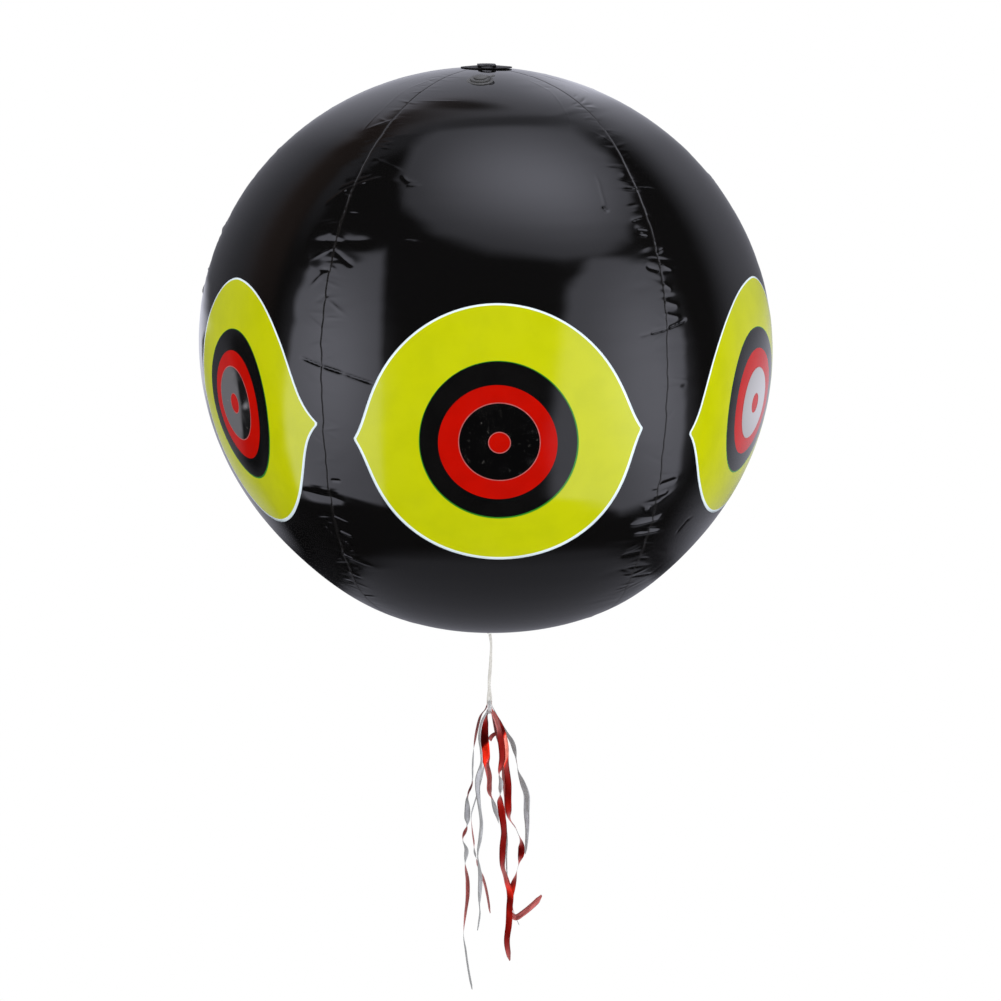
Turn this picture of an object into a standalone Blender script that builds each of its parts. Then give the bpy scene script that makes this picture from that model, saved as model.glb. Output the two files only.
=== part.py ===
# Bird scare balloon: a six-gore inflatable ball with printed eyes, hung by a tab,
# with a white ribbon and eight twisted foil tails below it.
# The origin is the top of the hanging tab, over the ball's vertical axis.

import math

import bmesh
import bpy
from mathutils import Matrix, Vector

MM = 0.001

# Ball
GORE_COUNT = 6
BALL_RADIUS = 200 * MM
BALL_POLE = 195 * MM
GORE_FLATNESS = 0.035          # how far a gore's middle stays inside the round
FILM = 0.3 * MM
ROWS = 20
LAST_ROW = 87.7
FACE_COLUMNS = 8
SEAM_GAP = 0.15 * MM
SEAM_DIP = 1.0 * MM
SEAM_FIN = 3.0 * MM
SEAM_SHOULDER = 3.0 * MM

# Printed eyes and mirror foils
PRINT_LIFT = 0.3 * MM
FOIL_LIFT = 0.8 * MM
SHEET = 0.2 * MM
EYE_HALF_WIDTH = 78.3 * MM
EYE_HALF_HEIGHT = 78.9 * MM
EYE_DROP = 2.6 * MM
EYE_TIP = 0.09
EYE_TIP_SPREAD = 7.5
FOIL_OUTER = 24.0 * MM
FOIL_INNER = 6.9 * MM
CUT_NEAR = 0.75
CUT_FAR = 1.15

# Caps at both ends of the ball
CAP_RADIUS = 17 * MM
CAP_FLAT = 9 * MM
CAP_THICK = 0.6 * MM
GAP = 0.3 * MM
CAP_FALL = 0.7 * MM

# Hanging tab on top and streamer tab below
TAB_WIDTH = 12 * MM
TAB_THICK = 0.6 * MM
TAB_WELD = 13 * MM
HANG_LENGTH = 18 * MM
HANG_HOLE = 3.9 * MM
HANG_HOLE_Y = -11 * MM
HOLE_DROP = 10 * MM
HOLE_RADIUS = 2.5 * MM

# Inflation valve
VALVE_RHO = 47.5 * MM
VALVE_AZIMUTH = -7.0
VALVE_HOLE = 5.6 * MM
FLANGE_RADIUS = 8.5 * MM
STEM_RADIUS = 4.6 * MM
STEM_BORE = 3.6 * MM
STEM_COLLAR = 6.4 * MM
STEM_TOP = 2.2 * MM
STEM_END = -12 * MM
FLAP_RADIUS = 5.0 * MM
FLAP_TOP = -12.3 * MM
PLUG_HEAD = 4.2 * MM
PLUG_SHANK = 3.3 * MM

# Ribbon
RIBBON_WIDTH = 2.5 * MM
RIBBON_THICK = 0.25 * MM
TIE_CORD = 1.0 * MM
KNOT = 1.3 * MM
LOOP_CORD = 0.8 * MM
LOOP_HALF = 2.4 * MM
RIBBON_PATH = [(0.0, -9.8), (0.9, -17.4), (1.7, -27.4), (2.1, -37.4), (1.6, -46.4), (0.8, -55.4)]
TIE_DROP = 4.3 * MM
TIE_HALF = 2.9 * MM
TIE_SIDE = 1.6 * MM
TIE_KNOT_DROP = 8.2 * MM
LOOP_RISE = 9.1 * MM
LOOP_HALF_HEIGHT = 6.9 * MM
LOOP_KNOT_RISE = 16.9 * MM

# Foil tails
TAIL_X = 0.7 * MM
FOIL = 0.2 * MM
FOLD_WIDTH = 3.0 * MM
FOLD_LEGS = [1.1 * MM, 2.4 * MM, 3.7 * MM, 5.0 * MM]
LAYER_ROOT = [1.7 * MM, 3.0 * MM, 4.3 * MM, 5.6 * MM]
LAYER_FULL = [3.3 * MM, 9.9 * MM, 16.5 * MM, 23.1 * MM]
LAYER_SPREAD = 90 * MM
TAIL_HALF = 2.4 * MM
TAIL_ROOT_HALF = 1.4 * MM
TAIL_END_HALF = 1.1 * MM
TWIST_START = 66 * MM
TAIL_DROP = 73.9 * MM
FOLD_RISE = 2.2 * MM
FOLD_LEG_DROP = 1.5 * MM

# Heights that follow: tab, cap and ball stand apart by the gap, down to the tab's hole and the tails
BALL_Z = -(TAB_THICK + GAP + CAP_THICK + GAP + BALL_POLE)
FOLD_Z = BALL_Z - BALL_POLE - GAP - CAP_THICK - GAP - TAB_THICK
HOLE_Z = FOLD_Z - HOLE_DROP
TAIL_Z = HOLE_Z - TAIL_DROP

# Each tail: layer (sign = side), twist in degrees per point, and its route below the hinge in mm
TAILS = [
    (3, 28, [(-0.5, 1.5), (-0.5, -4), (-6, -9.5), (-9.5, -23.5), (-12, -40.5), (-13, -57), (-13.5, -74),
             (-17, -87.5), (-17.5, -102), (-18.5, -115.5), (-21, -128), (-18.5, -138), (-20, -150.5),
             (-18, -167), (-18, -183.5), (-20, -201.5), (-21.5, -220.5), (-20, -236.5), (-18, -255),
             (-15, -276.5)]),
    (-4, 24, [(-1.5, 1.5), (-5, -8), (-7.5, -20.5), (-6.5, -31.5), (-7, -42), (-10, -53.5), (-9.5, -68),
              (-7.5, -86.5), (-8.5, -101), (-10.5, -114.5), (-9.5, -126.5), (-8.5, -138), (-9.5, -159.5),
              (-9, -171), (-11, -187)]),
    (2, -26, [(-0.5, 1.5), (-1.0, -5), (-2.5, -16), (-2, -31.5), (-3.5, -49), (-6, -66.5), (-10.5, -85),
              (-14.5, -101), (-14, -114), (-12.5, -127), (-11.5, -139.5), (-8.5, -152), (-5, -162),
              (-2, -176.5), (0.5, -195)]),
    (-2, 30, [(-0.5, 1.5), (-3, -9.5), (-4, -20), (-3.5, -33), (-2.5, -45.5), (-0.5, -56), (-0.5, -66),
              (2.5, -77), (4.5, -87), (6.5, -96)]),
    (-3, -28, [(0.5, 1.5), (4, -5), (6.5, -13), (8.5, -24), (9.5, -37.5), (7.5, -50), (8.5, -58),
               (7, -68.5), (8.5, -81.5), (10.5, -98.5), (9.5, -115), (9.5, -131.5), (12.5, -145),
               (15.5, -158.5), (15, -171.5), (14.5, -187), (13, -204.5), (15.5, -222.5)]),
    (-1, 18, [(1, 1.5), (5.5, -8), (9.5, -18.5), (13, -32.5), (13, -48.5), (14.5, -66), (14.5, -82.5),
              (16, -97), (21.5, -107.5), (25, -121.5), (24.5, -134.5), (21, -148), (18, -162),
              (16, -175.5), (16.5, -186), (21, -190.5), (27, -186.5), (33.5, -180.5), (38.5, -175),
              (42, -170)]),
    (4, -24, [(1.5, 1.5), (8, -13.5), (14.5, -28), (19, -39), (21.5, -53.5), (24, -68), (28, -81.5),
              (31, -92.5), (31, -108.5), (31.5, -123), (31, -138), (30, -148)]),
    (1, 30, [(1, 1.5), (3.5, -9.5), (5.5, -20.5), (8.5, -33), (10.5, -47), (11, -63.5), (12.5, -80),
             (12.5, -97.5), (14, -119), (13.5, -138), (14.5, -159), (17, -175.5), (19.5, -189), (24, -203)]),
]


def clear_scene():
    for obj in list(bpy.data.objects):
        bpy.data.objects.remove(obj, do_unlink=True)


def collection(name):
    coll = bpy.data.collections.new(name)
    bpy.context.scene.collection.children.link(coll)
    return coll


def material(name, color, roughness, metallic=0.0):
    mat = bpy.data.materials.new(name)
    mat.use_nodes = True
    mat.diffuse_color = (*color, 1.0)
    shader = mat.node_tree.nodes["Principled BSDF"]
    shader.inputs["Base Color"].default_value = (*color, 1.0)
    shader.inputs["Roughness"].default_value = roughness
    shader.inputs["Metallic"].default_value = metallic
    return mat


def add_object(name, data, coll, mat=None, matrix=None):
    obj = bpy.data.objects.new(name, data)
    coll.objects.link(obj)
    if mat is not None:
        data.materials.append(mat)
    if matrix is not None:
        obj.matrix_world = matrix
    return obj


def as_cutter(obj):
    obj.hide_render = True
    obj.display_type = "WIRE"
    return obj


def boolean(obj, cutter, operation):
    mod = obj.modifiers.new(operation.title(), "BOOLEAN")
    mod.operation = operation
    mod.solver = "EXACT"
    mod.object = cutter


def solidify(obj, thickness, offset):
    mod = obj.modifiers.new("Solidify", "SOLIDIFY")
    mod.thickness = thickness
    mod.offset = offset
    mod.use_even_offset = True


def mapped_grid(name, columns, rows, place):
    # A flat grid whose vertices are moved by place(column, row)
    bm = bmesh.new()
    bmesh.ops.create_grid(bm, x_segments=columns, y_segments=rows, size=1.0)
    for vert in bm.verts:
        column = round((vert.co.x + 1) / 2 * columns)
        row = round((vert.co.y + 1) / 2 * rows)
        vert.co = place(column, row)
    mesh = bpy.data.meshes.new(name)
    bm.to_mesh(mesh)
    bm.free()
    return mesh


def turned(name, profile, coll, mat, steps=24, closed=False, matrix=None):
    # A profile of (radius, height) points, turned about the local Z axis
    mesh = bpy.data.meshes.new(name)
    edges = [(i, i + 1) for i in range(len(profile) - 1)]
    if closed:
        edges.append((len(profile) - 1, 0))
    mesh.from_pydata([(r, 0, h) for r, h in profile], edges, [])
    obj = add_object(name, mesh, coll, mat, matrix)
    mod = obj.modifiers.new("Screw", "SCREW")
    mod.steps = steps
    mod.render_steps = steps
    mod.use_merge_vertices = True
    mod.merge_threshold = 0.00001
    mod.use_normal_calculate = False
    return obj


def plate(name, loops, thickness, coll, mat, matrix):
    # A flat plate with holes, from 2D outlines
    curve = bpy.data.curves.new(name, "CURVE")
    curve.dimensions = "2D"
    curve.fill_mode = "BOTH"
    curve.extrude = thickness / 2
    for points in loops:
        spline = curve.splines.new("POLY")
        spline.points.add(len(points) - 1)
        for point, (x, y) in zip(spline.points, points):
            point.co = (x, y, 0, 1)
        spline.use_cyclic_u = True
    return add_object(name, curve, coll, mat, matrix)


def cord(name, points, diameter, coll, mat, cyclic=False, sides=1):
    # A round cord along a path, with filled ends
    curve = bpy.data.curves.new(name, "CURVE")
    curve.dimensions = "3D"
    curve.bevel_depth = diameter / 2
    curve.bevel_resolution = sides
    curve.use_fill_caps = True
    spline = curve.splines.new("POLY")
    spline.points.add(len(points) - 1)
    for point, co in zip(spline.points, points):
        point.co = (*co, 1)
    spline.use_cyclic_u = cyclic
    return add_object(name, curve, coll, mat)


def meshed(obj, coll):
    # The curve's evaluated mesh in its place, for a Boolean
    graph = bpy.context.evaluated_depsgraph_get()
    mesh = bpy.data.meshes.new_from_object(obj.evaluated_get(graph))
    bm = bmesh.new()
    bm.from_mesh(mesh)
    bmesh.ops.remove_doubles(bm, verts=bm.verts, dist=0.000001)
    bmesh.ops.recalc_face_normals(bm, faces=bm.faces)
    bm.to_mesh(mesh)
    bm.free()
    name = obj.name
    bpy.data.objects.remove(obj, do_unlink=True)
    return add_object(name, mesh, coll)


def ring_points(radius, count, centre=(0, 0), start=0.0, end=360.0):
    full = end - start >= 360.0
    steps = count if full else count - 1
    points = []
    for i in range(count):
        angle = math.radians(start + (end - start) * i / steps)
        points.append((centre[0] + radius * math.cos(angle), centre[1] + radius * math.sin(angle)))
    return points


def pivot(name, location, coll, children):
    # An empty on a joint axis that carries the moving objects
    empty = bpy.data.objects.new(name, None)
    empty.location = location
    empty.empty_display_size = 0.02
    coll.objects.link(empty)
    for child in children:
        child.parent = empty
        child.matrix_parent_inverse = Matrix.Translation(-Vector(location))
    return empty


def on_ball(azimuth, beta, lift=0.0):
    # A point of the ball about its own centre, lifted along the surface normal
    middle = (1 + math.cos(GORE_COUNT * azimuth)) / 2
    rho = BALL_RADIUS * math.cos(beta) * (1 - GORE_FLATNESS * middle * math.cos(beta))
    x = rho * math.sin(azimuth)
    y = -rho * math.cos(azimuth)
    z = BALL_POLE * math.sin(beta)
    normal = Vector((x / BALL_RADIUS ** 2, y / BALL_RADIUS ** 2, z / BALL_POLE ** 2)).normalized()
    return Vector((x, y, z)) + normal * lift


def row_beta(row):
    return math.radians(LAST_ROW * (2 * row / ROWS - 1))


def shoulder_azimuth(beta):
    half = math.pi / GORE_COUNT
    rho = BALL_RADIUS * math.cos(beta)
    margin = min(SEAM_SHOULDER, 0.25 * rho * math.sin(half))
    return half - math.asin(margin / rho)


def face_point(step, row, lift=0.0):
    beta = row_beta(row)
    azimuth = shoulder_azimuth(beta) * (2 * step / FACE_COLUMNS - 1)
    return on_ball(azimuth, beta, lift)


def seam_point(side, row, depth):
    # A point of the seam edge, side -1 or 1, sunk towards the ball's centre
    half = side * math.pi / GORE_COUNT
    point = on_ball(half, row_beta(row))
    point = point * (1 - depth / point.length)
    inward = Vector((-side * math.cos(half), -side * math.sin(half), 0))
    return point + inward * SEAM_GAP


def gore_place(column, row):
    last = FACE_COLUMNS + 4
    if column == 0 or column == last:
        return seam_point(-1 if column == 0 else 1, row, SEAM_DIP + SEAM_FIN)
    if column == 1 or column == last - 1:
        return seam_point(-1 if column == 1 else 1, row, SEAM_DIP)
    return face_point(column - 2, row)


def gore_matrix(index):
    turn = 2 * math.pi * index / GORE_COUNT
    return Matrix.Translation((0, 0, BALL_Z)) @ Matrix.Rotation(turn, 4, "Z")


def gores(coll, mat):
    made = []
    for i in range(GORE_COUNT):
        mesh = mapped_grid(f"gore_{i + 1}", FACE_COLUMNS + 4, ROWS, gore_place)
        obj = add_object(f"gore_{i + 1}", mesh, coll, mat, gore_matrix(i))
        solidify(obj, FILM, -1)
        made.append(obj)
    return made


def eye_outline():
    # A round eye with a short pointed tip at each side
    points = []
    for i in range(44):
        angle = 360 * i / 44
        away = min(abs(angle - a) for a in (0, 180, 360))
        reach = 1 + EYE_TIP * math.exp(-away / EYE_TIP_SPREAD)
        x = EYE_HALF_WIDTH * reach * math.cos(math.radians(angle))
        z = EYE_HALF_HEIGHT * reach * math.sin(math.radians(angle)) - EYE_DROP
        points.append((x, z))
    return points


def eye_cutter(name, coll, matrix):
    bm = bmesh.new()
    bmesh.ops.create_circle(bm, cap_ends=True, segments=44, radius=1.0)
    bm.verts.ensure_lookup_table()
    for vert, (x, z) in zip(bm.verts, eye_outline()):
        vert.co = (x, -CUT_NEAR * BALL_RADIUS, z)
    face = bmesh.ops.extrude_face_region(bm, geom=list(bm.faces))
    for item in face["geom"]:
        if isinstance(item, bmesh.types.BMVert):
            item.co.y = -CUT_FAR * BALL_RADIUS
    bmesh.ops.recalc_face_normals(bm, faces=bm.faces)
    mesh = bpy.data.meshes.new(name)
    bm.to_mesh(mesh)
    bm.free()
    return as_cutter(add_object(name, mesh, coll, None, matrix))


def eyes(coll, cutters, print_mat, foil_mat):
    # Rows 7 to 13 carry the printed eye, rows 9 to 11 the round mirror foil
    stand = Matrix.Translation((0, 0, -EYE_DROP)) @ Matrix.Rotation(math.radians(90), 4, "X")
    for i in range(GORE_COUNT):
        matrix = gore_matrix(i)
        mesh = mapped_grid(f"eye_print_{i + 1}", FACE_COLUMNS, 6,
                           lambda c, r: face_point(c, r + 7, PRINT_LIFT))
        eye = add_object(f"eye_print_{i + 1}", mesh, coll, print_mat, matrix)
        solidify(eye, SHEET, 1)
        boolean(eye, eye_cutter(f"eye_cutter_{i + 1}", cutters, matrix), "INTERSECT")
        mesh = mapped_grid(f"eye_foil_{i + 1}", 4, 4,
                           lambda c, r: face_point(c + 2, 7.6 + 0.6 * (r + 2), FOIL_LIFT))
        foil = add_object(f"eye_foil_{i + 1}", mesh, coll, foil_mat, matrix)
        solidify(foil, SHEET, 1)
        near, far = CUT_NEAR * BALL_RADIUS, CUT_FAR * BALL_RADIUS
        profile = [(FOIL_INNER, far), (FOIL_OUTER, far), (FOIL_OUTER, near), (FOIL_INNER, near)]
        ring = turned(f"foil_cutter_{i + 1}", profile, cutters, None, 36, True, matrix @ stand)
        boolean(foil, as_cutter(ring), "INTERSECT")


def caps(coll, mat):
    pole = BALL_POLE + GAP
    outer = pole + CAP_THICK
    profile = [(0, outer), (CAP_FLAT, outer), (CAP_RADIUS, outer - CAP_FALL),
               (CAP_RADIUS, pole - CAP_FALL), (CAP_FLAT, pole), (0, pole)]
    turned("top_cap", profile, coll, mat, 24, False, gore_matrix(0))
    below = [(r, -h) for r, h in reversed(profile)]
    turned("bottom_cap", below, coll, mat, 24, False, gore_matrix(0))


def weld_strip(name, z, coll, mat):
    # The welded half of a tab, lying flat behind its fold
    half = TAB_WIDTH / 2
    outline = [(-half, GAP), (half, GAP)]
    outline += ring_points(half, 9, (0, TAB_WELD - half), 0, 180)
    return plate(name, [outline], TAB_THICK, coll, mat, Matrix.Translation((0, 0, z - TAB_THICK / 2)))


def hang_tab(coll, mat):
    weld_strip("hang_tab_base", 0, coll, mat)
    half = TAB_WIDTH / 2
    outline = [(half, 0), (-half, 0)]
    outline += ring_points(half, 11, (0, half - HANG_LENGTH), 180, 360)
    hole = ring_points(HANG_HOLE, 20, (0, HANG_HOLE_Y))
    leaf = plate("hang_tab", [outline, hole], TAB_THICK, coll, mat,
                 Matrix.Translation((0, 0, -TAB_THICK / 2)))
    pivot("hang_tab_pivot", (0, 0, 0), coll, [leaf])


def streamer_tab(coll, mat):
    weld_strip("streamer_tab_base", FOLD_Z + TAB_THICK, coll, mat)
    half = TAB_WIDTH / 2
    outline = [(half, 0), (-half, 0)]
    outline += ring_points(half, 13, (0, -HOLE_DROP), 180, 360)
    hole = ring_points(HOLE_RADIUS, 18, (0, -HOLE_DROP))
    stand = Matrix.Translation((0, -TAB_THICK / 2, FOLD_Z)) @ Matrix.Rotation(math.radians(90), 4, "X")
    leaf = plate("streamer_tab", [outline, hole], TAB_THICK, coll, mat, stand)
    pivot("streamer_tab_pivot", (0, 0, FOLD_Z), coll, [leaf])


def valve_frame():
    # Local Z points out of the film at the valve, local Y up towards the pole
    azimuth = math.radians(VALVE_AZIMUTH)
    upper = on_ball(azimuth, row_beta(ROWS - 1))
    lower = on_ball(azimuth, row_beta(ROWS - 2))
    rho_upper = math.hypot(upper.x, upper.y)
    rho_lower = math.hypot(lower.x, lower.y)
    place = upper.lerp(lower, (VALVE_RHO - rho_upper) / (rho_lower - rho_upper))
    down = (lower - upper).normalized()
    side = Vector((math.cos(azimuth), math.sin(azimuth), 0))
    out = down.cross(side)
    frame = Matrix((side, -down, out)).transposed().to_4x4()
    return Matrix.Translation(place + Vector((0, 0, BALL_Z))) @ frame


def valve(coll, cutters, gore, valve_mat):
    frame = valve_frame()
    hole = turned("valve_hole_cutter", [(0, 0.003), (VALVE_HOLE, 0.003), (VALVE_HOLE, -0.003), (0, -0.003)],
                  cutters, None, 24, False, frame)
    boolean(gore, as_cutter(hole), "DIFFERENCE")

    bore = STEM_RADIUS + 0.3 * MM
    turned("valve_flange", [(bore, 1.1 * MM), (7.9 * MM, 1.1 * MM), (FLANGE_RADIUS, 0.8 * MM),
                            (FLANGE_RADIUS, 0.3 * MM), (bore, 0.3 * MM)], coll, valve_mat, 24, True, frame)
    collar = 0.8 * MM
    stem_profile = [(STEM_BORE, STEM_TOP), (STEM_COLLAR, STEM_TOP), (STEM_COLLAR, STEM_TOP - collar),
                    (STEM_RADIUS, STEM_TOP - collar), (STEM_RADIUS, STEM_END + collar),
                    (STEM_COLLAR, STEM_END + collar), (STEM_COLLAR, STEM_END), (STEM_BORE, STEM_END)]
    stem = turned("valve_stem", stem_profile, coll, valve_mat, 24, True, frame)
    flap_low = FLAP_TOP - 0.4 * MM
    flap = turned("valve_flap", [(0, FLAP_TOP), (FLAP_RADIUS, FLAP_TOP), (FLAP_RADIUS, flap_low),
                                 (0, flap_low)], coll, valve_mat, 24, False, frame)
    plug = turned("valve_plug", [(0, 3.7 * MM), (2.8 * MM, 3.5 * MM), (PLUG_HEAD, 3.0 * MM),
                                 (PLUG_HEAD, 2.5 * MM), (PLUG_SHANK, 2.5 * MM), (PLUG_SHANK, -4.5 * MM),
                                 (2.7 * MM, -5.0 * MM), (0, -5.0 * MM)], coll, valve_mat, 24, False, frame)
    strap_path = [(4.6, 0.0, 3.0), (6.4, 0.0, 3.0), (8.0, 0.9, 2.9), (8.8, 2.7, 2.6), (8.4, 4.5, 2.2),
                  (7.2, 4.8, 1.9), (6.0, 4.0, 1.8)]
    strap = cord("valve_plug_strap", [Vector(p) * MM for p in strap_path], 0.9 * MM, coll, valve_mat)
    strap.matrix_world = frame

    centre = frame.translation
    flap_hinge = frame @ Vector((FLAP_RADIUS, 0, FLAP_TOP))
    pivot("valve_stem_pivot", centre, coll, [stem, strap])
    pivot("valve_flap_pivot", flap_hinge, coll, [flap])
    pivot("valve_plug_pivot", centre, coll, [plug])


def rounded(value, power):
    return math.copysign(abs(value) ** power, value)


def loop_cord(name, centre, half_side, half_up, diameter, across, power, coll):
    # A closed cord loop; across 0 lies in the XZ plane, across 1 in the YZ plane
    points = []
    for i in range(20):
        angle = 2 * math.pi * i / 20
        offset = Vector((0, 0, half_up * rounded(math.cos(angle), power)))
        offset[across] = half_side * rounded(math.sin(angle), power)
        points.append(Vector(centre) + offset)
    return meshed(cord(name, points, diameter, coll, None, True), coll)


def knot_ball(name, centre, coll):
    bm = bmesh.new()
    bmesh.ops.create_uvsphere(bm, u_segments=12, v_segments=7, radius=KNOT)
    mesh = bpy.data.meshes.new(name)
    bm.to_mesh(mesh)
    bm.free()
    matrix = Matrix.Translation(centre) @ Matrix.Diagonal((1.15, 1.0, 1.0, 1.0))
    return as_cutter(add_object(name, mesh, coll, None, matrix))


def strip(name, centres, widths, sides, thickness, coll, mat):
    # A thin strip along its centre points; sides are the directions of its width
    mesh = mapped_grid(name, 1, len(centres) - 1,
                       lambda c, r: centres[r] + sides[r] * widths[r] * (2 * c - 1))
    obj = add_object(name, mesh, coll, mat)
    solidify(obj, thickness, 0)
    return obj


def ribbon(coll, cutters, mat):
    tie = loop_cord("ribbon_tie", (0, -TAB_THICK / 2, HOLE_Z - TIE_DROP), TIE_SIDE, TIE_HALF,
                    TIE_CORD, 1, 1.0, coll)
    boolean(tie, knot_ball("tie_knot", (0, -TAB_THICK / 2, HOLE_Z - TIE_KNOT_DROP), cutters), "UNION")
    tie.data.materials.append(mat)

    centres = [Vector((x * MM, -TAB_THICK / 2, HOLE_Z + z * MM)) for x, z in RIBBON_PATH]
    count = len(centres)
    strand = strip("ribbon", centres, [RIBBON_WIDTH / 2] * count, [Vector((1, 0, 0))] * count,
                   RIBBON_THICK, coll, mat)

    loop = loop_cord("ribbon_loop", (TAIL_X, 0, TAIL_Z + LOOP_RISE), LOOP_HALF, LOOP_HALF_HEIGHT,
                     LOOP_CORD, 0, 0.5, coll)
    boolean(loop, knot_ball("loop_knot", (TAIL_X, 0, TAIL_Z + LOOP_KNOT_RISE), cutters), "UNION")
    loop.data.materials.append(mat)
    return [tie, strand, loop]


def foil_folds(coll, mat):
    # Nested foil arches that hang over the loop's lowest strand
    made = []
    for i, leg in enumerate(FOLD_LEGS):
        centres = [Vector((TAIL_X, -leg, TAIL_Z - FOLD_LEG_DROP))]
        for k in range(9):
            angle = math.pi * k / 8
            rise = FOLD_RISE + leg * math.sin(angle)
            centres.append(Vector((TAIL_X, -leg * math.cos(angle), TAIL_Z + rise)))
        centres.append(Vector((TAIL_X, leg, TAIL_Z - FOLD_LEG_DROP)))
        count = len(centres)
        made.append(strip(f"foil_fold_{i + 1}", centres, [FOLD_WIDTH / 2] * count,
                          [Vector((1, 0, 0))] * count, FOIL, coll, mat))
    return made


def layer_y(layer, reach):
    index = abs(layer) - 1
    t = min(max(reach / LAYER_SPREAD, 0.0), 1.0)
    ease = t * t * (3 - 2 * t)
    depth = LAYER_ROOT[index] + (LAYER_FULL[index] - LAYER_ROOT[index]) * ease
    return math.copysign(depth, layer)


def tail(index, layer, twist_step, route, coll, mat):
    # One twisted foil tail that stays in its own layer as it swings
    flat = [Vector((x * MM, 0, z * MM)) for x, z in route]
    centres, widths, sides = [], [], []
    twist = 0.0
    for i, point in enumerate(flat):
        reach = point.length
        before = flat[max(i - 1, 0)]
        after = flat[min(i + 1, len(flat) - 1)]
        along = (after - before).normalized()
        across = Vector((-along.z, 0, along.x))
        if reach > TWIST_START:
            twist += math.radians(twist_step)
        sides.append(across * math.cos(twist) + Vector((0, 1, 0)) * math.sin(twist))
        grow = min(reach / (12 * MM), 1.0)
        width = TAIL_ROOT_HALF + (TAIL_HALF - TAIL_ROOT_HALF) * grow
        widths.append(TAIL_END_HALF if i == len(flat) - 1 else width)
        centres.append(Vector((TAIL_X + point.x, layer_y(layer, reach), TAIL_Z + point.z)))
    obj = strip(f"streamer_{index}", centres, widths, sides, FOIL, coll, mat)
    pivot(f"streamer_{index}_pivot", (TAIL_X, 0, TAIL_Z), coll, [obj])
    return obj


def build():
    clear_scene()
    coll = collection("bird_scare_balloon")
    cutters = collection("cutters")
    film = material("pvc_film", (0.015, 0.013, 0.012), 0.12)
    cap_vinyl = material("cap_vinyl", (0.02, 0.019, 0.018), 0.25)
    eye_ink = material("eye_ink", (0.62, 0.64, 0.02), 0.2)
    mirror = material("mirror_foil", (0.85, 0.86, 0.88), 0.05, 1.0)
    valve_pvc = material("valve_pvc", (0.03, 0.03, 0.03), 0.2)
    ribbon_white = material("ribbon_white", (0.85, 0.85, 0.83), 0.6)
    foil_red = material("streamer_foil", (0.45, 0.03, 0.04), 0.2, 1.0)

    panels = gores(coll, film)
    eyes(coll, cutters, eye_ink, mirror)
    caps(coll, cap_vinyl)
    hang_tab(coll, cap_vinyl)
    streamer_tab(coll, cap_vinyl)
    valve(coll, cutters, panels[0], valve_pvc)

    hanging = ribbon(coll, cutters, ribbon_white)
    hanging += foil_folds(coll, foil_red)
    pivot("ribbon_pivot", (0, -TAB_THICK / 2, HOLE_Z), coll, hanging)
    for index, (layer, twist_step, route) in enumerate(TAILS, start=1):
        tail(index, layer, twist_step, route, coll, foil_red)


build()
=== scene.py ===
"""Looks for the bird scare balloon: glossy welded film, printed eyes, mirror foils, a white ribbon and
twisted metallic tails, on the CAD frame. Lengths in the tables are in mm."""
import math

import bpy
import numpy as np
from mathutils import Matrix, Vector


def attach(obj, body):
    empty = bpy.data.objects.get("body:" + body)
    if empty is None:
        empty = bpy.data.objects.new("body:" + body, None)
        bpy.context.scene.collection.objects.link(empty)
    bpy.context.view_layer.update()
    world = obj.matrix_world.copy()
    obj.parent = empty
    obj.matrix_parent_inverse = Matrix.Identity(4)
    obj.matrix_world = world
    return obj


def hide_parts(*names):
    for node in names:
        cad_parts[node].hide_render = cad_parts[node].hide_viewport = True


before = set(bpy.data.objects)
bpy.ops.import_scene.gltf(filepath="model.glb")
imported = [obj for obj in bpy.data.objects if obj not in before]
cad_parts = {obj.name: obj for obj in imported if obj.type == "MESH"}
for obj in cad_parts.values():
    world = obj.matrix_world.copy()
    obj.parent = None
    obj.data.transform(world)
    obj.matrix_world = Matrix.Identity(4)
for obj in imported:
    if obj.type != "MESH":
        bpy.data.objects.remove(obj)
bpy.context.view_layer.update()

MM = 0.001
SCENE = bpy.context.scene

# Camera, fitted to the photograph
CAMERA_AT = (-0.03725, -0.96958, 0.04512)
CAMERA_DIRECTION = (0.04506538, 0.93930743, -0.3401039)
LENS_MM = 50.62

# The ball (mm), as in the CAD, with the slight lean that the photograph shows
RADIUS = 200.0
POLE = 195.0
FLATNESS = 0.035  # how far a gore's middle lies inside the round, as a share of the radius
BALL_Z = -196.8
LEAN = 0.0104
SEAM_RADIUS = 197.0  # turns a latitude into a length along a seam
FILM_END = 88.2  # the film's last latitude in degrees, under the caps
SEAM_GROOVE = (0.20, 0.38), (0.07, 2.4)  # depth and half width: the weld's groove, the dip beside it

# The valve's hole in gore 1 (mm): a point on its axis, the axis, and its radius
VALVE_AT = (-5.79, -47.15, -7.98)
VALVE_AXIS = (-0.03221, -0.2623, 0.96445)
VALVE_HOLE = 5.6

# Cords (mm): the tails' hinge, the tab's hole, how far each layer of tails lies in front of or behind the
# ribbon, at the hinge and further down, the reach of that spread, the folds' legs and height, and the
# strips' thickness
TAIL_X, TAIL_Z = 0.7, -477.5
HOLE_Z = -403.6
LAYER_ROOT = (1.7, 3.0, 4.3, 5.6)
LAYER_FULL = (3.3, 9.9, 16.5, 23.1)
LAYER_SPREAD = 90.0
FOLD_LEGS = (1.1, 2.4, 3.7, 5.0)
FOLD_Z = -475.3
FOIL_THICK = 0.10
RIBBON_THICK = 0.2

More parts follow.
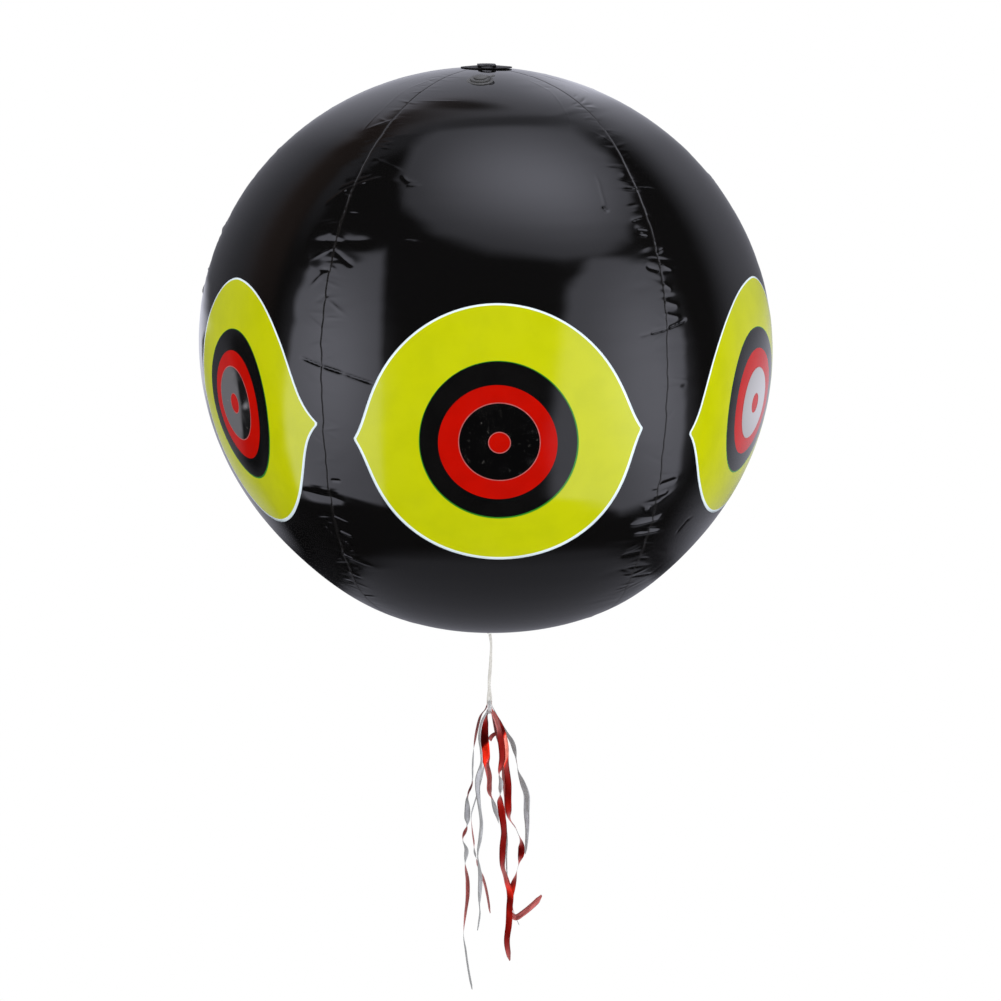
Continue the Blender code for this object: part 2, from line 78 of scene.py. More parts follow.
# Each tail: its layer (negative in front of the ribbon, positive behind), full width, route (x, z) from
# the hinge, turns (route position, degrees: 0 shows the red side, 180 the silver side) and painted light
# (route position, brightness painted into the foil's colour: -1 painted shade, 0 plain, 1 painted
# highlight, 2 pale painted highlight)
TAILS = [
    dict(layer=3, width=5.4,
        route=[(-1.5, 2.0), (-3, -2.5), (-7, -9), (-10, -23.5), (-12, -40.5), (-13, -57), (-13.5, -74),
            (-17, -87.5), (-17.5, -102), (-18.5, -115.5), (-21, -128), (-18.5, -138), (-20, -150.5),
            (-18, -167), (-18, -183.5), (-20, -201.5), (-21.5, -220.5), (-20, -236.5), (-18, -255),
            (-15, -276.5)],
        turns=[(0, 60), (2, 60), (3, 60), (3.7, 72), (4.1, 92), (4.6, 100), (5.7, 101), (6.05, 70),
            (6.5, 52), (6.9, 70), (7.2, 115), (7.9, 150), (8.5, 148), (8.85, 100), (9.1, 55), (9.5, 42),
            (9.9, 75), (10.15, 110), (10.9, 130), (11.5, 120), (11.95, 92), (12.4, 75), (13.2, 50),
            (14, 50), (15, 62), (15.7, 80), (16.1, 95), (16.6, 108), (19, 114)],
        painted_lights=[(0, 0.0), (5.9, 0.0), (6.3, -0.6), (7, -0.4), (7.8, -0.3), (9.5, 0.0), (19, 0.0)]),
    dict(layer=-4, width=4.6,
        route=[(-1.5, 1.5), (-6.2, -8), (-8.2, -20.5), (-7, -31.5), (-7, -42), (-10, -53.5), (-9.5, -68),
            (-7.5, -86.5), (-8.5, -101), (-10.5, -114.5), (-9.5, -126.5), (-8.5, -138), (-9.5, -159.5),
            (-9, -171), (-11, -187)],
        turns=[(0, 100), (1, 106), (2, 112), (3, 112), (3.9, 108), (4.3, 135), (5, 150), (5.7, 140),
            (6.2, 124), (8, 122), (8.8, 104), (9.3, 98), (10, 120), (11, 138), (11.6, 128), (12.1, 102),
            (14, 98)],
        painted_lights=[(0, 0.0), (14, 0.0)]),
    dict(layer=2, width=4.6,
        route=[(-0.5, 1.5), (-1.0, -5), (-2.5, -16), (-2, -31.5), (-3.5, -49), (-6, -66.5), (-10.5, -85),
            (-14.5, -101), (-14, -114), (-12.5, -127), (-11.5, -139.5), (-8.5, -152), (-5, -162),
            (-2, -176.5), (0.5, -195)],
        turns=[(0, 84), (1, 80), (2, 84), (3, 72), (3.6, 76), (4, 92), (7.6, 92), (8, 80), (9.2, 76),
            (9.6, 112), (10, 118), (10.4, 75), (11, 92), (12, 70), (13, 68), (14, 72)],
        painted_lights=[(0, -0.9), (2.5, -0.7), (3, 0.2), (4, 0.0), (14, 0.0)]),
    dict(layer=-2, width=6.6,
        route=[(-1.6, 1.5), (-3.9, -9.5), (-4.3, -20), (-3.4, -33), (-2.5, -45.5), (-0.5, -56),
            (-0.5, -66), (2.5, -77), (4.5, -87), (6.5, -96)],
        turns=[(0, 70), (0.6, 50), (1.2, 15), (2, 0), (3, 0), (3.5, 12), (4, 56), (5, 52), (6, 50),
            (6.4, 72), (6.7, 108), (7.3, 128), (8, 125), (9, 100)],
        painted_lights=[(0, -0.3), (0.8, 0.1), (1.5, -0.45), (2.3, -0.8), (2.62, -0.7), (2.78, 1.0), (3.75, 0.9),
            (3.9, 0.1), (6, 0.0), (9, 0.0)]),
    dict(layer=-3, width=5.4,
        route=[(0.5, 1.5), (4, -5), (6.5, -13), (8.5, -24), (9.5, -37.5), (7.5, -50), (8.5, -58),
            (7, -68.5), (8.5, -81.5), (10.5, -98.5), (9.5, -115), (9.5, -131.5), (12.5, -145),
            (15.5, -158.5), (15, -171.5), (14.5, -187), (13, -204.5), (15.5, -222.5)],
        turns=[(0, 64), (1, 60), (2.2, 56), (2.7, 25), (3.2, 20), (4, 22), (4.5, 30), (5.0, 60),
            (5.15, 100), (5.5, 122), (6, 128), (6.6, 118), (6.95, 85), (7.2, 40), (8, 5), (9, 30),
            (10, 12), (10.7, 30), (11.3, 62), (11.7, 60), (12, 45), (12.6, 40), (13, 0), (14, 10), (15, 5),
            (16, 25), (17, 62)],
        painted_lights=[(0, 0.0), (2.2, 0.0), (2.5, -0.2), (4.2, -0.1), (4.6, 0.15), (5, 0.1), (8, 0.05),
            (9, -0.15), (10.8, -0.2), (12, 0.1), (12.6, 0.5), (13, 0.35), (13.6, -0.3), (14.4, 0.1),
            (15.2, 0.05), (15.5, -0.25), (16, -0.1), (17, 0.0)]),
    dict(layer=-1, width=5.4,
        route=[(1, 1.5), (5.5, -8), (9.5, -18.5), (13, -32.5), (13, -48.5), (14.5, -66), (14.5, -82.5),
            (16, -97), (21.5, -107.5), (25, -121.5), (24.5, -134.5), (21, -148), (18, -162), (16, -175.5),
            (16.5, -186), (21, -190.5), (27, -186.5), (33.5, -180.5), (38.5, -175), (42, -170)],
        turns=[(0, 70), (1, 55), (1.8, 15), (2.2, 20), (2.7, 45), (3.5, 48), (4, 40), (5, 12), (6, 5),
            (6.6, 30), (7, 88), (7.3, 98), (8.4, 100), (8.8, 70), (9.1, 10), (9.6, 0), (10, 40),
            (10.35, 78), (11, 76), (11.4, 40), (12, 10), (13, 30), (14, 60), (15, 62), (17, 60), (19, 62)],
        painted_lights=[(0, 0.2), (1, 0.3), (1.5, -0.2), (2.2, -0.75), (2.35, -0.2), (2.5, 1.9), (3.7, 1.9),
            (3.95, 0.0), (4.6, -0.25), (5.4, -0.2), (6, 0.1), (6.8, 0.0), (8.8, -0.2), (9.3, -0.55),
            (9.7, -0.5), (9.85, 0.15), (11, 0.1), (11.6, -0.2), (12.2, 0.5), (13, 0.2), (14, 0.1),
            (19, 0.1)]),
    dict(layer=4, width=5.0,
        route=[(1.5, 1.5), (8, -13.5), (14.5, -28), (19, -39), (21.5, -53.5), (24, -68), (28, -81.5),
            (31, -92.5), (31, -108.5), (31.5, -123), (31, -138), (30, -148)],
        turns=[(0, 105), (1, 112), (1.8, 120), (2.3, 140), (3, 145), (3.5, 135), (4, 100), (4.8, 92),
            (5.2, 115), (5.8, 150), (6.3, 168), (7.3, 172), (8, 158), (8.7, 135), (9.4, 118), (11, 100)],
        painted_lights=[(0, 0.0), (11, 0.0)]),
    dict(layer=1, width=4.6,
        route=[(1, 1.5), (3.5, -9.5), (5.5, -20.5), (8.5, -33), (10.5, -47), (11, -63.5), (12.5, -80),
            (12.5, -97.5), (14, -119), (13.5, -138), (14.5, -159), (17, -175.5), (19.5, -189), (24, -203)],
        turns=[(0, 60), (2, 50), (4, 62), (5, 60), (6, 60), (7, 75), (7.5, 100), (9, 104), (10, 96),
            (10.6, 80), (11, 60), (12, 95), (13, 110)],
        painted_lights=[(0, -0.2), (3, -0.4), (6, -0.2), (13, 0.0)]),
]

# Seam azimuths of the front gore by latitude (degrees), as the photograph shows them
LEFT_SEAM = [(-88, -34), (-60, -38), (-50, -37.5), (-40, -36), (-32, -33.8), (-20, -32.2), (-5, -31.2),
             (5, -31.2), (15, -32), (30, -33.1), (45, -34.2), (56, -34.9), (67, -35.8), (78, -36), (88, -34)]
RIGHT_SEAM = [(-88, 34), (-60, 40), (-50.7, 37.8), (-43, 34.2), (-35, 31.2), (-28, 30.3), (-15, 29.7),
              (-4, 29.5), (8, 30.3), (15, 31.2), (22.5, 32.5), (32, 34), (44, 36), (51, 38), (65, 43),
              (79, 47), (88, 42)]


# ---------------------------------------------------------------- node helpers
class Graph:
    """A short way to write shader nodes."""

    def __init__(self, tree):
        self.tree = tree
        tree.nodes.clear()

    def node(self, kind, inputs=None, **settings):
        made = self.tree.nodes.new(kind)
        for key, value in settings.items():
            setattr(made, key, value)
        for key, value in (inputs or {}).items():
            self.put(made.inputs[key], value)
        return made

    def put(self, socket, value):
        if isinstance(value, bpy.types.NodeSocket):
            self.tree.links.new(value, socket)
        else:
            socket.default_value = value

    def math(self, operation, *values, clamp=False):
        made = self.tree.nodes.new("ShaderNodeMath")
        made.operation = operation
        made.use_clamp = clamp
        for socket, value in zip(made.inputs, values):
            self.put(socket, value)
        return made.outputs[0]

    def vector(self, operation, *values):
        made = self.tree.nodes.new("ShaderNodeVectorMath")
        made.operation = operation
        for socket, value in zip(made.inputs, values):
            self.put(socket, value)
        return made.outputs["Value" if operation == "DOT_PRODUCT" else "Vector"]

    def smooth(self, value, start, end):
        """0 at start, 1 at end."""
        made = self.node("ShaderNodeMapRange", {"Value": value, "From Min": start, "From Max": end},
                         interpolation_type="SMOOTHSTEP")
        return made.outputs["Result"]

    def mix(self, factor, a, b):
        made = self.node("ShaderNodeMix", data_type="RGBA")
        self.put(made.inputs["Factor"], factor)
        self.put(made.inputs[6], a)
        self.put(made.inputs[7], b)
        return made.outputs[2]

    def noise(self, vector, scale, detail=2.0, roughness=0.5):
        made = self.node("ShaderNodeTexNoise", {"Vector": vector, "Scale": scale, "Detail": detail,
                                                "Roughness": roughness})
        return made.outputs["Fac"]


def rgb(r, g, b):
    """An sRGB colour of 0 to 255 as linear RGBA."""
    def linear(c):
        c /= 255
        return c / 12.92 if c <= 0.04045 else ((c + 0.055) / 1.055) ** 2.4
    return (linear(r), linear(g), linear(b), 1.0)


# ---------------------------------------------------------------- camera
def make_camera():
    data = bpy.data.cameras.new("camera")
    data.lens = LENS_MM
    data.sensor_width = 36.0
    data.clip_start = 0.01
    obj = bpy.data.objects.new("camera", data)
    obj.location = CAMERA_AT
    obj.rotation_euler = Vector(CAMERA_DIRECTION).to_track_quat("-Z", "Y").to_euler()
    SCENE.collection.objects.link(obj)
    SCENE.camera = obj


# ---------------------------------------------------------------- meshes
def mesh_object(name, points, faces, materials, indices=None, attributes=None):
    """A mesh piece from points in mm."""
    mesh = bpy.data.meshes.new(name)
    mesh.from_pydata([tuple(float(c) * MM for c in p) for p in points], [], faces)
    for material in materials:
        mesh.materials.append(material)
    if indices is not None:
        mesh.polygons.foreach_set("material_index", indices)
    mesh.polygons.foreach_set("use_smooth", [True] * len(mesh.polygons))
    for key, values in (attributes or {}).items():
        layer = mesh.attributes.new(key, "FLOAT", "POINT")
        layer.data.foreach_set("value", [float(v) for v in values])
    mesh.update()
    obj = bpy.data.objects.new(name, mesh)
    SCENE.collection.objects.link(obj)
    return obj


def finish_piece(obj, body, slot, *nodes):
    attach(obj, body)
    if nodes:
        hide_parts(*nodes)
    return obj


def grid_faces(rows, columns, offset=0, flip=False):
    """Quads of a grid of rows x columns points."""
    faces = []
    for i in range(rows - 1):
        for j in range(columns - 1):
            a = offset + i * columns + j
            quad = (a, a + 1, a + columns + 1, a + columns)
            faces.append(quad[::-1] if flip else quad)
    return faces


def curve_through(points, per_segment):
    """Points of a Catmull-Rom curve through these points, and their positions in the list."""
    pts = np.array(points, dtype=float)
    padded = np.vstack([2 * pts[0] - pts[1], pts, 2 * pts[-1] - pts[-2]])
    made, positions = [], []
    for i in range(len(pts) - 1):
        p0, p1, p2, p3 = padded[i:i + 4]
        for k in range(per_segment):
            t = k / per_segment
            made.append(0.5 * (2 * p1 + (p2 - p0) * t + (2 * p0 - 5 * p1 + 4 * p2 - p3) * t ** 2
                               + (3 * p1 - p0 - 3 * p2 + p3) * t ** 3))
            positions.append(i + t)
    made.append(pts[-1])
    positions.append(len(pts) - 1)
    return np.array(made), np.array(positions)


def strip_object(name, centres, sides, fronts, halves, thickness, cup, materials, marks=None):
    """A thin closed strip: sides are the width's directions, fronts the front face's normals, and
    marks are named values along it."""
    across = np.linspace(-1, 1, 5)
    count = len(centres)
    front, back = [], []
    for i in range(count):
        for a in across:
            bow = cup[i] * (1 - a * a)
            spot = centres[i] + sides[i] * (a * halves[i]) + fronts[i] * bow
            front.append(spot + fronts[i] * thickness / 2)
            back.append(spot - fronts[i] * thickness / 2)
    points = front + back
    shift = len(front)
    width = len(across)
    faces = grid_faces(count, width) + grid_faces(count, width, shift, True)
    rims = [(i * width + j, width, j > 0) for i in range(count - 1) for j in (0, width - 1)]
    rims += [(i * width + j, 1, i == 0) for i in (0, count - 1) for j in range(width - 1)]
    for a, step, flip in rims:
        quad = (a, a + step, a + step + shift, a + shift)
        faces.append(quad[::-1] if flip else quad)
    in_front = (count - 1) * (width - 1)
    kinds = [0] * in_front + [1] * (len(faces) - in_front)
    spread = {key: np.tile(np.broadcast_to(np.reshape(values, (count, -1)), (count, width)).ravel(), 2)
              for key, values in (marks or {}).items()}
    obj = mesh_object(name, points, faces, materials, kinds, attributes=spread)
    obj.visible_glossy = False
    return obj


# ---------------------------------------------------------------- cords
def layer_y(layer, reach):
    index = abs(layer) - 1
    t = np.clip(reach / LAYER_SPREAD, 0, 1)
    ease = t * t * (3 - 2 * t)
    return np.sign(layer) * (LAYER_ROOT[index] + (LAYER_FULL[index] - LAYER_ROOT[index]) * ease)


def turned(flat, turn):
    """Width directions and front normals of a strip along a flat route, turned about its length."""
    along = np.gradient(flat, axis=0)
    along /= np.linalg.norm(along, axis=1)[:, None]
    side = np.stack([-along[:, 1], np.zeros(len(flat)), along[:, 0]], axis=1)
    depth = np.array([0.0, 1.0, 0.0])
    cosine, sine = np.cos(turn)[:, None], np.sin(turn)[:, None]
    return side * cosine + depth * sine, side * sine - depth * cosine


def run_length(centres):
    steps = np.linalg.norm(np.diff(centres, axis=0), axis=1)
    return np.concatenate([[0], np.cumsum(steps)])


def make_tail(number, red, silver, layer, width, route, turns, painted_lights):
    """One hanging foil tail."""
    flat, positions = curve_through(route, 10)
    reach = np.hypot(flat[:, 0], flat[:, 1])
    centres = np.stack([TAIL_X + flat[:, 0], layer_y(layer, reach), TAIL_Z + flat[:, 1]], axis=1)
    keys = np.array(turns, dtype=float)
    turn = np.radians(np.interp(positions, keys[:, 0], keys[:, 1]))
    turn = np.convolve(np.pad(turn, 2, mode="edge"), np.ones(5) / 5, mode="valid")
    sides, fronts = turned(flat, turn)
    travelled = run_length(centres)
    length = float(travelled[-1])
    # Narrower at both ends, and bowed to each side in turn
    halves = width / 2 * np.clip(0.45 + travelled / 22, 0, 1)
    halves *= np.clip(0.35 + (length - travelled) / 9, 0, 1)
    cup = 0.35 * np.sin(travelled * 0.21 + number) * np.clip(travelled / 15, 0, 1)
    # Painted light: a painted sheen where the strip turns edge-on, and painted shade and painted highlights
    # along it, slanted across the width
    keys = np.array(painted_lights, dtype=float)
    slant = 0.22 * (-1) ** number * np.linspace(-1, 1, 5)
    marks = {"painted_sheen": np.sin(turn) ** 4,
             "painted_light": np.interp(positions[:, None] + slant, keys[:, 0], keys[:, 1])}
    obj = strip_object(f"tail_{number}", centres, sides, fronts, halves, FOIL_THICK, cup, [red, silver],
                       marks)
    finish_piece(obj, f"streamer_{number}", "streamer_foil", f"streamer_{number}")
    snags = [make_snag(red, silver)] if number == 4 else []


def make_snag(red, silver):
    """The folded-out corner of the fourth tail that reaches over to its neighbours."""
    flat, positions = curve_through([(-0.2, -24.5), (1.6, -21.6), (4.6, -19.4), (8.2, -18.3)], 8)
    centres = np.stack([TAIL_X + flat[:, 0], np.linspace(-4.8, -3.4, len(flat)), TAIL_Z + flat[:, 1]], axis=1)
    turn = np.radians(np.linspace(38, 18, len(flat)))
    sides, fronts = turned(flat, turn)
    halves = np.interp(positions, [0, 1, 2, 3], [1.9, 1.7, 1.35, 1.2])
    # Painted light: a painted sheen where the corner turns, and painted shade that deepens toward its end
    marks = {"painted_sheen": np.sin(turn) ** 2, "painted_light": np.interp(positions, [0, 1.2, 3], [-0.05, -0.15, -0.3])}
    obj = strip_object("tail_4_corner", centres, sides, fronts, halves, FOIL_THICK,
                       np.full(len(flat), 0.15), [red, silver], marks)
    finish_piece(obj, "streamer_4", "streamer_foil")
    return obj


def make_folds(red, silver):
    """The folded middles of the foil strips over the ribbon's loop."""
    made = []
    for number, leg in enumerate(FOLD_LEGS, start=1):
        angles = np.linspace(0, math.pi, 17)
        arch = [(-leg * math.cos(a), FOLD_Z + leg * math.sin(a)) for a in angles]
        arch = [(-leg, TAIL_Z - 1.5)] + arch + [(leg, TAIL_Z - 1.5)]
        spots = np.array([(TAIL_X, y, z) for y, z in arch])
        along = np.gradient(spots, axis=0)
        along /= np.linalg.norm(along, axis=1)[:, None]
        sides = np.tile([1.0, 0.0, 0.0], (len(spots), 1))
        fronts = np.cross(sides, along) * -1
        # Painted light: the folds carry a full painted sheen and a half-strength painted highlight
        marks = {"painted_sheen": np.full(len(spots), 1.0), "painted_light": np.full(len(spots), 0.5)}
        obj = strip_object(f"fold_{number}", spots, sides, fronts, np.full(len(spots), 1.4), FOIL_THICK,
                           np.full(len(spots), 0.12), [red, silver], marks)
        finish_piece(obj, "ribbon", "streamer_foil", f"foil_fold_{number}")
        made.append(obj)
    return made


def make_ribbon(white, on_loop):
    """The flat white ribbon from the tab's knot to the loop's knot, and its doubled loop."""
    loop, _ = curve_through([(0.7, -458.0), (0.25, -462), (-0.35, -467), (-0.5, -472), (-0.25, -474.4),
                             (0.7, -475.4), (1.65, -474.4), (1.9, -472), (1.75, -467), (1.15, -462),
                             (0.7, -458.0)], 6)
    sides, fronts = turned(loop, np.radians(8 * np.sin(np.linspace(0, 9, len(loop)))))
    centres = np.stack([loop[:, 0], np.linspace(-0.35, -0.05, len(loop)), loop[:, 1]], axis=1)
    band = strip_object("ribbon_loop_band", centres, sides, fronts, np.full(len(loop), 0.95), RIBBON_THICK,
                        np.full(len(loop), 0.05), [white, white])
    finish_piece(band, "ribbon", "ribbon_white", "ribbon_loop")

    route = [(1.2, -9.8), (2.1, -17.4), (1.9, -27.4), (1.5, -37.4), (0.8, -46.4), (0.4, -55.4)]
    flat, positions = curve_through(route, 8)
    centres = np.stack([flat[:, 0], np.full(len(flat), -0.3), HOLE_Z + flat[:, 1]], axis=1)
    sides, fronts = turned(flat, np.radians(30 + 22 * np.sin(positions * 1.3)))
    obj = strip_object("ribbon_strand", centres, sides, fronts, np.full(len(flat), 1.25), RIBBON_THICK,
                       np.full(len(flat), 0.1), [white, white])
    finish_piece(obj, "ribbon", "ribbon_white", "ribbon")


# ---------------------------------------------------------------- the ball's film
def seam_table(pairs):
    """Azimuth by latitude, smoothed, every half degree from -89 to 89."""
    grid = np.arange(-89, 89.5, 0.5)
    keys = np.array(pairs, dtype=float)
    raw = np.interp(grid, keys[:, 0], keys[:, 1])
    kernel = np.exp(-np.linspace(-2, 2, 17) ** 2)
    kernel /= kernel.sum()
    return grid, np.convolve(np.pad(raw, 8, mode="edge"), kernel, mode="valid")


SEAM_TABLES = {0: seam_table(LEFT_SEAM), 1: seam_table(RIGHT_SEAM)}


def seam_wave(seam, beta):
    """The weld's small wander to each side, in radians."""
    phase = 2.1 * (seam % 6)
    degrees = 0.075 * np.sin(beta * 41 + phase) + 0.055 * np.sin(beta * 67 + 3 * phase)
    return np.radians(degrees + 0.04 * np.sin(beta * 119 + 5 * phase))


def seam_azimuth(seam, beta):
    """Azimuth in radians of seam 0 to 6; seam n is left of gore n + 1."""
    return plain_azimuth(seam, beta) + seam_wave(seam, beta)


def plain_azimuth(seam, beta):
    if seam % 6 in SEAM_TABLES:
        grid, table = SEAM_TABLES[seam % 6]
        return np.radians(np.interp(np.degrees(beta), grid, table)) + (2 * math.pi if seam == 6 else 0)
    return np.full_like(beta, math.radians(60 * seam - 30))


def make_puckers():
    """Small folds that cross the seams: place along and across, angle, half length, half width, height."""
    rng = np.random.default_rng(7)
    folds = {}
    for seam in range(6):
        rows = []
        along = -262.0
        while along < 270:
            along += rng.uniform(2.8, 6.5)
            lively = 0.35 + 0.65 * math.exp(-((abs(along) - 95) / 52) ** 2)
            for side in (-1, 1):
                if rng.random() < 0.8:
                    rows.append((along + rng.uniform(-2, 2), side * rng.uniform(1.5, 8), rng.normal(0, 18),
                                 rng.uniform(2.5, 8.0), rng.uniform(0.8, 1.7), rng.normal(0, 0.25) * lively))
                if rng.random() < 0.35:
                    rows.append((along + rng.uniform(-3, 3), side * rng.uniform(8, 22), rng.normal(0, 20),
                                 rng.uniform(7.0, 18.0), rng.uniform(2.5, 6.0), rng.normal(0, 0.22) * lively))
        folds[seam] = rows
    return folds


# Larger creases by seam (mm): across and along at both ends, half width, height
CREASES = {
    0: [(-16.2, 133.1, -1.7, 147.4, 0.8, 0.46), (-1.7, 147.4, 15.9, 155.6, 0.8, 0.42),
        (-10.0, 145.1, 8.7, 156.5, 0.7, 0.32), (-17.7, 109.1, 24.6, 113.3, 5.5, -0.55),
        (41.4, 114.9, 49.7, 112.8, 0.9, 0.42), (0.7, 104.9, 14.5, 96.4, 1.6, -0.51),
        (2.1, 170.9, 26.3, 161.6, 0.8, 0.16), (28.1, 157.2, 39.7, 149.0, 0.9, 0.42),
        (-4.0, 265.8, -14.1, 241.3, 0.8, 0.1), (-14.1, 241.3, -14.7, 215.5, 0.8, 0.1),
        (-14.7, 215.5, -16.8, 192.0, 0.8, 0.09), (-5.2, 226.5, 31.7, 228.3, 0.9, 0.05),
        (-15.3, 39.0, 0.5, 36.0, 0.9, -1.3), (0.5, 36.0, 14.8, 33.6, 1.0, -1.6),
        (14.8, 33.6, 35.3, 29.0, 0.9, -1.0), (2.5, -35.0, 9.6, -34.4, 0.9, -0.63),
        (-21.7, -47.7, 8.5, -48.1, 3.5, -0.5), (-8.9, -71.7, -1.7, -81.8, 0.9, 0.53),
        (2.3, -73.7, 11.1, -76.7, 1.0, 0.63), (1.3, -81.8, 7.0, -83.0, 0.8, 0.42),
        (-3.5, -94.5, 18.9, -102.0, 1.3, 0.58), (-4.1, -112.6, 8.0, -117.4, 1.0, 0.63),
        (-0.9, -146.5, 10.7, -142.1, 0.9, 0.42)],
    1: [(-5.0, 147.5, 14.7, 144.9, 0.9, 0.53), (-0.8, 128.3, 20.9, 124.0, 0.8, 0.32),
        (-12.6, 125.3, -1.3, 127.0, 0.9, 0.42), (-11.3, 120.6, -1.4, 118.4, 1.2, 0.43),
        (-8.9, 116.5, -3.4, 114.7, 0.9, 0.42), (-10.2, 95.9, -1.1, 92.7, 1.3, -0.51),
        (1.3, 96.1, 10.1, 91.4, 1.4, 0.51), (0.3, 84.6, 6.0, 80.4, 1.3, 0.51),
        (0.1, 73.9, 11.1, 70.2, 1.5, 0.58), (-2.1, 67.1, 11.2, 63.1, 1.6, 0.58),
        (-20.0, 55.6, -12.9, 56.5, 0.8, -0.35), (-12.9, 56.5, -0.4, 58.1, 0.9, -1.05),
        (-0.4, 58.1, 15.5, 61.4, 1.0, -1.1), (-24.5, 158.4, -27.1, 133.6, 0.8, 0.13),
        (-28.4, 135.7, -26.3, 132.2, 1.0, -0.53), (-10.1, 261.8, -10.2, 240.4, 0.8, 0.08),
        (-10.2, 240.4, -22.9, 200.2, 0.8, 0.09), (-5.8, 23.6, 12.1, 22.9, 1.6, 0.36),
        (-0.2, -39.1, 13.3, -37.7, 1.8, -0.58), (-1.9, -46.7, 8.1, -45.2, 1.2, 0.43),
        (-16.9, -66.0, 7.9, -65.0, 2.0, 0.8), (-12.8, -74.1, 12.2, -76.2, 1.6, 0.58),
        (-7.3, -56.8, -4.2, -53.7, 0.9, 0.53), (28.1, -84.9, 39.2, -73.0, 0.9, -0.63),
        (1.0, -119.5, 19.0, -124.2, 0.9, -0.63), (19.0, -124.2, 37.8, -116.4, 1.0, -0.73),
        (-9.2, -134.4, 2.8, -132.7, 0.8, 0.42), (-15.0, -92.2, -1.6, -91.9, 2.2, -0.58)],
}


def more_creases():
    """Creases of the same kind over the seams that the photograph doesn't show."""
    rng = np.random.default_rng(19)
    creases = {}
    for seam in (2, 3, 4, 5):
        rows = creases[seam] = []
        for _ in range(20):
            along = rng.choice([-1, 1]) * rng.uniform(25, 160)
            x0 = rng.uniform(-16, 2)
            x1 = x0 + rng.uniform(8, 26)
            rows.append((x0, along, x1, along + rng.normal(0, 5), rng.uniform(0.9, 2.2),
                         rng.choice([-1, 1]) * rng.uniform(0.3, 0.75)))
    return creases


PUCKERS = make_puckers()
CREASES.update(more_creases())


def fold_height(seam, across, along):
    """Height in mm of the film's folds at places given across and along one seam."""
    height = np.zeros_like(across)
    near = np.abs(across) < 60
    x, t = across[near], along[near]
    total = np.zeros_like(x)
    for place, offset, angle, length, width, size in PUCKERS[seam]:
        close = (np.abs(t - place) < 3 * width + length) & (np.abs(x - offset) < 3 * length)
        if not close.any():
            continue
        c, s = math.cos(math.radians(angle)), math.sin(math.radians(angle))
        dx, dt = x[close] - offset, t[close] - place
        p = (dx * c + dt * s) / length
        q = (dt * c - dx * s) / width
        total[close] += size * np.exp(-p * p - q * q)
    total *= np.clip(1 - np.abs(x) / 40, 0, 1)
    for x0, t0, x1, t1, width, size in CREASES[seam]:
        half = math.hypot(x1 - x0, t1 - t0) / 2
        c, s = (x1 - x0) / (2 * half), (t1 - t0) / (2 * half)
        dx, dt = x - (x0 + x1) / 2, t - (t0 + t1) / 2
        close = np.hypot(dx, dt) < half * 1.3 + 4 * width
        p = np.abs(dx[close] * c + dt[close] * s) / half
        q = (dt[close] * c - dx[close] * s) / width
        end = np.clip((1.2 - p) / 0.7, 0, 1)
        total[close] += size * end * end * (3 - 2 * end) * np.exp(-np.sqrt(q * q * 2.2 + 0.05) + 0.22)
    height[near] = total
    return height


def film_radius(theta, beta, low, high):
    """The film's distance from the ball's axis, and its place across the gore from -1 to 1."""
    psi = 2 * (theta - low) / (high - low) - 1
    middle = 0.5 * (1 + np.cos(math.pi * np.clip(psi, -1, 1)))
    return RADIUS * np.cos(beta) * (1 - FLATNESS * middle * np.cos(beta)), psi


def film_point(gore, theta, beta, lift=0.0):
    """Points of the film in mm for azimuths and latitudes within gore 1 to 6, and the seam distance."""
    low, high = seam_azimuth(gore - 1, beta), seam_azimuth(gore, beta)
    rho, psi = film_radius(theta, beta, low, high)
    x, y, z = rho * np.sin(theta), -rho * np.cos(theta), POLE * np.sin(beta)
    normal = np.stack([x / RADIUS ** 2, y / RADIUS ** 2, z / POLE ** 2], axis=-1)
    normal /= np.linalg.norm(normal, axis=-1)[..., None]
    across = (1 - np.abs(psi)) * (high - low) / 2 * rho
    height = np.zeros_like(x) + lift
    along = SEAM_RADIUS * beta
    (deep, narrow), (shallow, wide) = SEAM_GROOVE
    height -= deep * np.exp(-(across / narrow) ** 2) + shallow * np.exp(-across / wide)
    right_half = psi > 0
    for half, seam, sign in ((~right_half, gore - 1, 1), (right_half, gore % 6, -1)):
        if half.any():
            height[half] += fold_height(seam, sign * across[half], along[half])
    spot = np.stack([x, y, z], axis=-1) + normal * height[..., None]
    leaned = np.stack([spot[..., 0] - LEAN * spot[..., 2], spot[..., 1],
                       spot[..., 2] - LEAN * spot[..., 0] + BALL_Z], axis=-1)
    return leaned, across


# The film's grid: a gore's half width, the first columns beside a seam and then (up to, step), all in mm,
# and the number of rows, for the gores that the photograph shows and for the others
HALF_GORE = 105
SEAM_COLUMNS = [0, 0.2, 0.4, 0.65, 1.0, 1.45, 2.0]
SHOWN_GORES = (1, 2, 6)
SHOWN_GRID = ((12, 0.65), (40, 1.0), (101, 4.0)), 960
OTHER_GRID = ((26, 1.8), (100, 5.0)), 330


